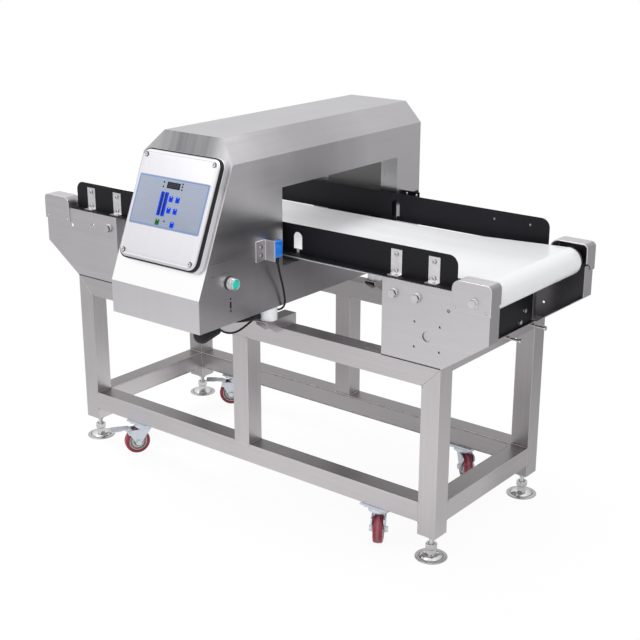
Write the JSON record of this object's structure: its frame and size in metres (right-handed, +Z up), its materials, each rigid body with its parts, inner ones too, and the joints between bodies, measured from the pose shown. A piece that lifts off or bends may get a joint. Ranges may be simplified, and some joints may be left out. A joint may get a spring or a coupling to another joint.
{
  "type": "metal detector",
  "caption": "Conveyor metal detector: welded stand on levelling feet and castors, white belt with side guides, and a brushed steel search head with a sloped control panel.",
  "frame": {"origin": "centre of the bounding box on the floor, under the middle of the belt's length", "axes": "+X along the belt, +Y across it away from the control panel, +Z up"},
  "size_m": [1.438, 0.865, 0.963],
  "materials": {
    "stand_steel": "brushed stainless square tube, satin, with welded and dressed joints",
    "plate_steel": "stainless sheet with a fine satin grain",
    "head_steel": "brushed stainless sheet, grain along the long edges",
    "cover_steel": "pressed stainless cover, fine satin",
    "bright_steel": "polished stainless fasteners and feet",
    "zinc": "zinc plated pressed steel, satin with a bluish cast",
    "roller_steel": "turned steel, fine rings",
    "black_paint": "black powder coat, matte",
    "belt": "white food belt, smooth and slightly glossy",
    "white_plastic": "white machined plastic",
    "bed_plastic": "pale slide plate that lets the search field through",
    "tread": "crimson polyurethane tread on a grey core",
    "black_rubber": "black rubber, matte",
    "resin": "cast resin",
    "copper": "enamelled copper wire",
    "board": "green circuit board",
    "film": "printed keypad film, pale blue with plain keys and no lettering",
    "lens": "teal lamp lens",
    "sensor": "blue moulded sensor body"
  },
  "bodies": {
    "frame": {"leg_near_left": "stand_steel", "side_plate_near_left": "plate_steel", "leg_near_right": "stand_steel", "side_plate_near_right": "plate_steel", "leg_far_left": "stand_steel", "side_plate_far_left": "plate_steel", "leg_far_right": "stand_steel", "side_plate_far_right": "plate_steel", "top_rail_near": "stand_steel", "top_rail_far": "stand_steel", "lower_rails": "stand_steel", "lower_cross_rails": "stand_steel", "mid_posts": "stand_steel", "end_ties": "stand_steel", "head_brackets": "stand_steel", "head_bushes": "white_plastic", "castor_plates": "zinc", "roller_caps": "plate_steel", "hex_bolts": "bright_steel", "small_screws": "bright_steel", "slider_bed": "bed_plastic", "conveyor_belt": "belt", "roller_shafts": "roller_steel", "roller_bearings": "black_paint", "guide_near": "black_paint", "guide_far": "black_paint", "guide_clips": "bright_steel", "end_panels": "black_paint", "head_shell": "head_steel", "coil_former": "resin", "coils": "copper", "control_board": "board", "panel_cover": "cover_steel", "panel_gasket": "black_rubber", "keypad_film": "film", "button_housing": "bright_steel", "sensor_bracket": "plate_steel", "photo_sensor": "sensor", "reflector_bracket": "black_paint", "sensor_cable": "black_rubber", "cable_boot": "black_rubber"},
    "foot_near_left": {"foot_near_left": "bright_steel"},
    "swivel_near_left": {"castor_fork_near_left": "zinc"},
    "wheel_near_left": {"castor_wheel_near_left": "tread"},
    "foot_near_right": {"foot_near_right": "bright_steel"},
    "swivel_near_right": {"castor_fork_near_right": "zinc"},
    "wheel_near_right": {"castor_wheel_near_right": "tread"},
    "foot_far_left": {"foot_far_left": "bright_steel"},
    "swivel_far_left": {"castor_fork_far_left": "zinc"},
    "wheel_far_left": {"castor_wheel_far_left": "tread"},
    "foot_far_right": {"foot_far_right": "bright_steel"},
    "swivel_far_right": {"castor_fork_far_right": "zinc"},
    "wheel_far_right": {"castor_wheel_far_right": "tread"},
    "pedal_near_left": {"brake_pedal_near_left": "zinc"},
    "pedal_far_left": {"brake_pedal_far_left": "zinc"},
    "body_drive_drum": {"drive_drum": "roller_steel"},
    "body_tail_roller": {"tail_roller": "roller_steel"},
    "body_return_roller_left": {"return_roller_left": "roller_steel"},
    "body_return_roller_right": {"return_roller_right": "roller_steel"},
    "body_button_cap": {"button_cap": "lens"}
  },
  "joints": [
    {"name": "foot_screw_near_left", "type": "slide", "parent": "frame", "child": "foot_near_left", "axis": [0, 0, 1], "range_m": [-0.02, 0]},
    {"name": "foot_screw_near_right", "type": "slide", "parent": "frame", "child": "foot_near_right", "axis": [0, 0, 1], "range_m": [-0.02, 0]},
    {"name": "foot_screw_far_left", "type": "slide", "parent": "frame", "child": "foot_far_left", "axis": [0, 0, 1], "range_m": [-0.02, 0]},
    {"name": "foot_screw_far_right", "type": "slide", "parent": "frame", "child": "foot_far_right", "axis": [0, 0, 1], "range_m": [-0.02, 0]},
    {"name": "castor_turn_near_left", "type": "hinge", "parent": "frame", "child": "swivel_near_left", "pos_m": [-0.39, -0.1205, 0.075], "axis": [0, 0, 1], "continuous": true},
    {"name": "wheel_spin_near_left", "type": "hinge", "parent": "swivel_near_left", "child": "wheel_near_left", "pos_m": [-0.40033, -0.13992, 0.036], "axis": [0.8829, -0.4695, 0], "continuous": true},
    {"name": "brake_press_near_left", "type": "hinge", "parent": "swivel_near_left", "child": "pedal_near_left", "pos_m": [-0.41066, -0.15935, 0.066], "axis": [0.8829, -0.4695, 0], "range_deg": [0, 10]},
    {"name": "castor_turn_near_right", "type": "hinge", "parent": "frame", "child": "swivel_near_right", "pos_m": [0.422, -0.1205, 0.075], "axis": [0, 0, 1], "continuous": true},
    {"name": "wheel_spin_near_right", "type": "hinge", "parent": "swivel_near_right", "child": "wheel_near_right", "pos_m": [0.433, -0.13955, 0.036], "axis": [0.866, 0.5, 0], "continuous": true},
    {"name": "castor_turn_far_left", "type": "hinge", "parent": "frame", "child": "swivel_far_left", "pos_m": [-0.42, 0.3055, 0.075], "axis": [0, 0, 1], "continuous": true},
    {"name": "wheel_spin_far_left", "type": "hinge", "parent": "swivel_far_left", "child": "wheel_far_left", "pos_m": [-0.4371, 0.29165, 0.036], "axis": [0.6293, -0.7771, 0], "continuous": true},
    {"name": "brake_press_far_left", "type": "hinge", "parent": "swivel_far_left", "child": "pedal_far_left", "pos_m": [-0.45419, 0.27781, 0.066], "axis": [0.6293, -0.7771, 0], "range_deg": [0, 10]},
    {"name": "castor_turn_far_right", "type": "hinge", "parent": "frame", "child": "swivel_far_right", "pos_m": [0.394, 0.3055, 0.075], "axis": [0, 0, 1], "continuous": true},
    {"name": "wheel_spin_far_right", "type": "hinge", "parent": "swivel_far_right", "child": "wheel_far_right", "pos_m": [0.41009, 0.2905, 0.036], "axis": [0.682, 0.7314, 0], "continuous": true},
    {"name": "drive_drum_spin", "type": "hinge", "parent": "frame", "child": "body_drive_drum", "pos_m": [0.676, 0.0925, 0.655], "axis": [0, 1, 0], "continuous": true},
    {"name": "tail_roller_spin", "type": "hinge", "parent": "frame", "child": "body_tail_roller", "pos_m": [-0.676, 0.0925, 0.655], "axis": [0, 1, 0], "continuous": true},
    {"name": "return_roller_left_spin", "type": "hinge", "parent": "frame", "child": "body_return_roller_left", "pos_m": [-0.466, 0.0925, 0.637], "axis": [0, 1, 0], "continuous": true},
    {"name": "return_roller_right_spin", "type": "hinge", "parent": "frame", "child": "body_return_roller_right", "pos_m": [0.466, 0.0925, 0.637], "axis": [0, 1, 0], "continuous": true},
    {"name": "button_press", "type": "slide", "parent": "frame", "child": "body_button_cap", "axis": [-1, 0, 0], "range_m": [0, 0.004], "stiffness_N_per_m": 400, "springref_m": -0.002}
  ],
  "couplings": [
    {"joint": "tail_roller_spin", "follows": "drive_drum_spin", "ratio": 1},
    {"joint": "return_roller_left_spin", "follows": "drive_drum_spin", "ratio": -2.75},
    {"joint": "return_roller_right_spin", "follows": "drive_drum_spin", "ratio": -2.75}
  ]
}
